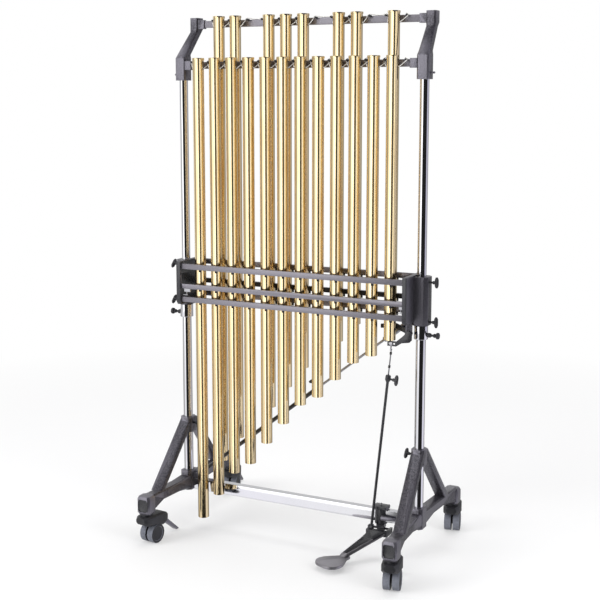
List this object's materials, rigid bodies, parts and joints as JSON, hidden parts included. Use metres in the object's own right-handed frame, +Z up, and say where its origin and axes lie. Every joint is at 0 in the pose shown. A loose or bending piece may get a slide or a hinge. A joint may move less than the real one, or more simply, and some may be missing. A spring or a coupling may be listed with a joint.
{
  "type": "tubular bells",
  "caption": "Orchestral tubular bells: brass tubes hung on cords from two rails of a telescoping stand, with a pedal damper and braked twin casters.",
  "frame": {"origin": "on the floor, under the middle of the bounding box", "axes": "+X along the rows toward the shortest tubes, -Y toward the player, +Z up"},
  "size_m": [0.994, 0.755, 1.773],
  "materials": {
    "brass": "polished",
    "chrome": "polished",
    "steel": "satin",
    "rail": "satin",
    "casting": "hammered",
    "black": "satin",
    "tread": "matte",
    "cord": "woven"
  },
  "bodies": {
    "stand": {"end_frame_left": "casting", "end_frame_right": "casting", "lower_pole_left": "chrome", "lower_pole_right": "chrome", "cross_beam": "chrome", "pedal_block": "black"},
    "upper_frame": {"upper_pole_left": "chrome", "upper_pole_right": "chrome", "gooseneck_bracket_left": "casting", "gooseneck_bracket_right": "casting", "hanging_rail_front": "rail", "hanging_rail_back": "rail", "suspension_cord_front": "cord", "suspension_cord_back": "cord", "damper_end_left": "casting", "damper_end_right": "casting", "damper_rail_front_top": "rail", "damper_rail_front_bottom": "rail", "damper_rail_back_top": "rail", "damper_rail_back_bottom": "rail"},
    "bell_front_01": {"bell_front_01": "brass"},
    "bell_front_02": {"bell_front_02": "brass"},
    "bell_front_03": {"bell_front_03": "brass"},
    "bell_front_04": {"bell_front_04": "brass"},
    "bell_front_05": {"bell_front_05": "brass"},
    "bell_front_06": {"bell_front_06": "brass"},
    "bell_front_07": {"bell_front_07": "brass"},
    "bell_front_08": {"bell_front_08": "brass"},
    "bell_front_09": {"bell_front_09": "brass"},
    "bell_front_10": {"bell_front_10": "brass"},
    "bell_front_11": {"bell_front_11": "brass"},
    "bell_front_12": {"bell_front_12": "brass"},
    "bell_back_01": {"bell_back_01": "brass"},
    "bell_back_02": {"bell_back_02": "brass"},
    "bell_back_03": {"bell_back_03": "brass"},
    "bell_back_04": {"bell_back_04": "brass"},
    "bell_back_05": {"bell_back_05": "brass"},
    "bell_back_06": {"bell_back_06": "brass"},
    "bell_back_07": {"bell_back_07": "brass"},
    "bell_back_08": {"bell_back_08": "brass"},
    "damper_bar_front": {"damper_bar_front": "rail"},
    "damper_bar_back": {"damper_bar_back": "rail"},
    "crank": {"damper_crank": "steel"},
    "pedal": {"pedal": "casting"},
    "pedal_rod": {"pedal_rod": "black"},
    "link_rod": {"link_rod": "steel"},
    "brace_tube": {"brace_tube": "black"},
    "brace_rod": {"brace_rod": "steel"},
    "caster_front_left": {"caster_hood_front_left": "black"},
    "wheels_front_left": {"caster_wheels_front_left": "tread"},
    "brake_front_left": {"brake_lever_front_left": "casting"},
    "caster_front_right": {"caster_hood_front_right": "black"},
    "wheels_front_right": {"caster_wheels_front_right": "tread"},
    "brake_front_right": {"brake_lever_front_right": "casting"},
    "caster_back_left": {"caster_hood_back_left": "black"},
    "wheels_back_left": {"caster_wheels_back_left": "tread"},
    "brake_back_left": {"brake_lever_back_left": "casting"},
    "caster_back_right": {"caster_hood_back_right": "black"},
    "wheels_back_right": {"caster_wheels_back_right": "tread"},
    "brake_back_right": {"brake_lever_back_right": "casting"}
  },
  "joints": [
    {"name": "height_slide", "type": "slide", "parent": "stand", "child": "upper_frame", "axis": [0, 0, 1], "range_m": [0, 0.06]},
    {"name": "bell_front_01_swing", "type": "hinge", "parent": "upper_frame", "child": "bell_front_01", "pos_m": [-0.34815, -0.13034, 1.59766], "axis": [1, 0, 0], "range_deg": [0, 0.4]},
    {"name": "bell_front_02_swing", "type": "hinge", "parent": "upper_frame", "child": "bell_front_02", "pos_m": [-0.28485, -0.13034, 1.59766], "axis": [1, 0, 0], "range_deg": [0, 0.4]},
    {"name": "bell_front_03_swing", "type": "hinge", "parent": "upper_frame", "child": "bell_front_03", "pos_m": [-0.22155, -0.13034, 1.59766], "axis": [1, 0, 0], "range_deg": [0, 0.4]},
    {"name": "bell_front_04_swing", "type": "hinge", "parent": "upper_frame", "child": "bell_front_04", "pos_m": [-0.15825, -0.13034, 1.59766], "axis": [1, 0, 0], "range_deg": [0, 0.4]},
    {"name": "bell_front_05_swing", "type": "hinge", "parent": "upper_frame", "child": "bell_front_05", "pos_m": [-0.09495, -0.13034, 1.59766], "axis": [1, 0, 0], "range_deg": [0, 0.4]},
    {"name": "bell_front_06_swing", "type": "hinge", "parent": "upper_frame", "child": "bell_front_06", "pos_m": [-0.03165, -0.13034, 1.59766], "axis": [1, 0, 0], "range_deg": [0, 0.4]},
    {"name": "bell_front_07_swing", "type": "hinge", "parent": "upper_frame", "child": "bell_front_07", "pos_m": [0.03165, -0.13034, 1.59766], "axis": [1, 0, 0], "range_deg": [0, 0.4]},
    {"name": "bell_front_08_swing", "type": "hinge", "parent": "upper_frame", "child": "bell_front_08", "pos_m": [0.09495, -0.13034, 1.59766], "axis": [1, 0, 0], "range_deg": [0, 0.4]},
    {"name": "bell_front_09_swing", "type": "hinge", "parent": "upper_frame", "child": "bell_front_09", "pos_m": [0.15825, -0.13034, 1.59766], "axis": [1, 0, 0], "range_deg": [0, 0.4]},
    {"name": "bell_front_10_swing", "type": "hinge", "parent": "upper_frame", "child": "bell_front_10", "pos_m": [0.22155, -0.13034, 1.59766], "axis": [1, 0, 0], "range_deg": [0, 0.4]},
    {"name": "bell_front_11_swing", "type": "hinge", "parent": "upper_frame", "child": "bell_front_11", "pos_m": [0.28485, -0.13034, 1.59766], "axis": [1, 0, 0], "range_deg": [0, 0.4]},
    {"name": "bell_front_12_swing", "type": "hinge", "parent": "upper_frame", "child": "bell_front_12", "pos_m": [0.34815, -0.13034, 1.59766], "axis": [1, 0, 0], "range_deg": [0, 0.4]},
    {"name": "bell_back_01_swing", "type": "hinge", "parent": "upper_frame", "child": "bell_back_01", "pos_m": [-0.3165, -0.04534, 1.73767], "axis": [1, 0, 0], "range_deg": [-0.4, 0]},
    {"name": "bell_back_02_swing", "type": "hinge", "parent": "upper_frame", "child": "bell_back_02", "pos_m": [-0.2532, -0.04534, 1.73767], "axis": [1, 0, 0], "range_deg": [-0.4, 0]},
    {"name": "bell_back_03_swing", "type": "hinge", "parent": "upper_frame", "child": "bell_back_03", "pos_m": [-0.1266, -0.04534, 1.73767], "axis": [1, 0, 0], "range_deg": [-0.4, 0]},
    {"name": "bell_back_04_swing", "type": "hinge", "parent": "upper_frame", "child": "bell_back_04", "pos_m": [-0.0633, -0.04534, 1.73767], "axis": [1, 0, 0], "range_deg": [-0.4, 0]},
    {"name": "bell_back_05_swing", "type": "hinge", "parent": "upper_frame", "child": "bell_back_05", "pos_m": [0, -0.04534, 1.73767], "axis": [1, 0, 0], "range_deg": [-0.4, 0]},
    {"name": "bell_back_06_swing", "type": "hinge", "parent": "upper_frame", "child": "bell_back_06", "pos_m": [0.1266, -0.04534, 1.73767], "axis": [1, 0, 0], "range_deg": [-0.4, 0]},
    {"name": "bell_back_07_swing", "type": "hinge", "parent": "upper_frame", "child": "bell_back_07", "pos_m": [0.1899, -0.04534, 1.73767], "axis": [1, 0, 0], "range_deg": [-0.4, 0]},
    {"name": "bell_back_08_swing", "type": "hinge", "parent": "upper_frame", "child": "bell_back_08", "pos_m": [0.3165, -0.04534, 1.73767], "axis": [1, 0, 0], "range_deg": [-0.4, 0]},
    {"name": "damper_front_swing", "type": "hinge", "parent": "upper_frame", "child": "damper_bar_front", "pos_m": [0, -0.16084, 0.908], "axis": [1, 0, 0], "range_deg": [-2.1, 0]},
    {"name": "damper_back_swing", "type": "hinge", "parent": "upper_frame", "child": "damper_bar_back", "pos_m": [0, -0.01484, 0.908], "axis": [1, 0, 0], "range_deg": [0, 2.1]},
    {"name": "crank_pivot", "type": "hinge", "parent": "upper_frame", "child": "crank", "pos_m": [0.408, -0.12304, 0.763], "axis": [0, 1, 0], "range_deg": [-2.7, 0]},
    {"name": "pedal_hinge", "type": "hinge", "parent": "stand", "child": "pedal", "pos_m": [0.308, -0.08704, 0.098], "axis": [1, 0, 0], "range_deg": [0, 4], "stiffness_Nm_per_rad": 12, "springref_deg": -20.05},
    {"name": "pedal_rod_slide", "type": "slide", "parent": "stand", "child": "pedal_rod", "axis": [0.1043, 0, 0.9945], "range_m": [-0.0026, 0]},
    {"name": "link_rod_slide", "type": "slide", "parent": "pedal_rod", "child": "link_rod", "axis": [0.1043, 0, 0.9945], "range_m": [0, 0.0605]},
    {"name": "brace_pivot", "type": "hinge", "parent": "stand", "child": "brace_tube", "pos_m": [-0.3985, -0.08304, 0.1745], "axis": [0, 1, 0], "range_deg": [-2.6, 0]},
    {"name": "brace_slide", "type": "slide", "parent": "brace_tube", "child": "brace_rod", "axis": [0.7866, 0, 0.6175], "range_m": [0, 0.03831]},
    {"name": "caster_front_left_swivel", "type": "hinge", "parent": "stand", "child": "caster_front_left", "pos_m": [-0.446, -0.34004, 0], "axis": [0, 0, 1], "continuous": true},
    {"name": "wheels_front_left_roll", "type": "hinge", "parent": "caster_front_left", "child": "wheels_front_left", "pos_m": [-0.44271, -0.31324, 0.033], "axis": [0.9925, -0.1219, 0], "continuous": true},
    {"name": "brake_front_left_lift", "type": "hinge", "parent": "caster_front_left", "child": "brake_front_left", "pos_m": [-0.43674, -0.2646, 0.07], "axis": [0.9925, -0.1219, 0], "range_deg": [0, 16]},
    {"name": "caster_front_right_swivel", "type": "hinge", "parent": "stand", "child": "caster_front_right", "pos_m": [0.446, -0.34004, 0], "axis": [0, 0, 1], "continuous": true},
    {"name": "wheels_front_right_roll", "type": "hinge", "parent": "caster_front_right", "child": "wheels_front_right", "pos_m": [0.43993, -0.31373, 0.033], "axis": [0.9744, 0.225, 0], "continuous": true},
    {"name": "brake_front_right_lift", "type": "hinge", "parent": "caster_front_right", "child": "brake_front_right", "pos_m": [0.4289, -0.26598, 0.07], "axis": [0.9744, 0.225, 0], "range_deg": [0, 16]},
    {"name": "caster_back_left_swivel", "type": "hinge", "parent": "stand", "child": "caster_back_left", "pos_m": [-0.446, 0.22296, 0], "axis": [0, 0, 1], "continuous": true},
    {"name": "wheels_back_left_roll", "type": "hinge", "parent": "caster_back_left", "child": "wheels_back_left", "pos_m": [-0.45207, 0.24927, 0.033], "axis": [0.9744, 0.225, 0], "continuous": true},
    {"name": "brake_back_left_lift", "type": "hinge", "parent": "caster_back_left", "child": "brake_back_left", "pos_m": [-0.4631, 0.29702, 0.07], "axis": [0.9744, 0.225, 0], "range_deg": [0, 16]},
    {"name": "caster_back_right_swivel", "type": "hinge", "parent": "stand", "child": "caster_back_right", "pos_m": [0.446, 0.22296, 0], "axis": [0, 0, 1], "continuous": true},
    {"name": "wheels_back_right_roll", "type": "hinge", "parent": "caster_back_right", "child": "wheels_back_right", "pos_m": [0.43993, 0.24927, 0.033], "axis": [0.9744, 0.225, 0], "continuous": true},
    {"name": "brake_back_right_lift", "type": "hinge", "parent": "caster_back_right", "child": "brake_back_right", "pos_m": [0.4289, 0.29702, 0.07], "axis": [0.9744, 0.225, 0], "range_deg": [0, 16]}
  ],
  "couplings": [
    {"joint": "damper_front_swing", "follows": "pedal_hinge", "ratio": -0.5},
    {"joint": "damper_back_swing", "follows": "pedal_hinge", "ratio": 0.5},
    {"joint": "crank_pivot", "follows": "pedal_hinge", "ratio": -0.6545},
    {"joint": "pedal_rod_slide", "follows": "pedal_hinge", "m_per_rad": -0.036},
    {"joint": "link_rod_slide", "follows": "height_slide", "ratio": 1.0055},
    {"joint": "brace_pivot", "follows": "height_slide", "rad_per_m": -0.7521},
    {"joint": "brace_slide", "follows": "height_slide", "ratio": 0.6352}
  ]
}
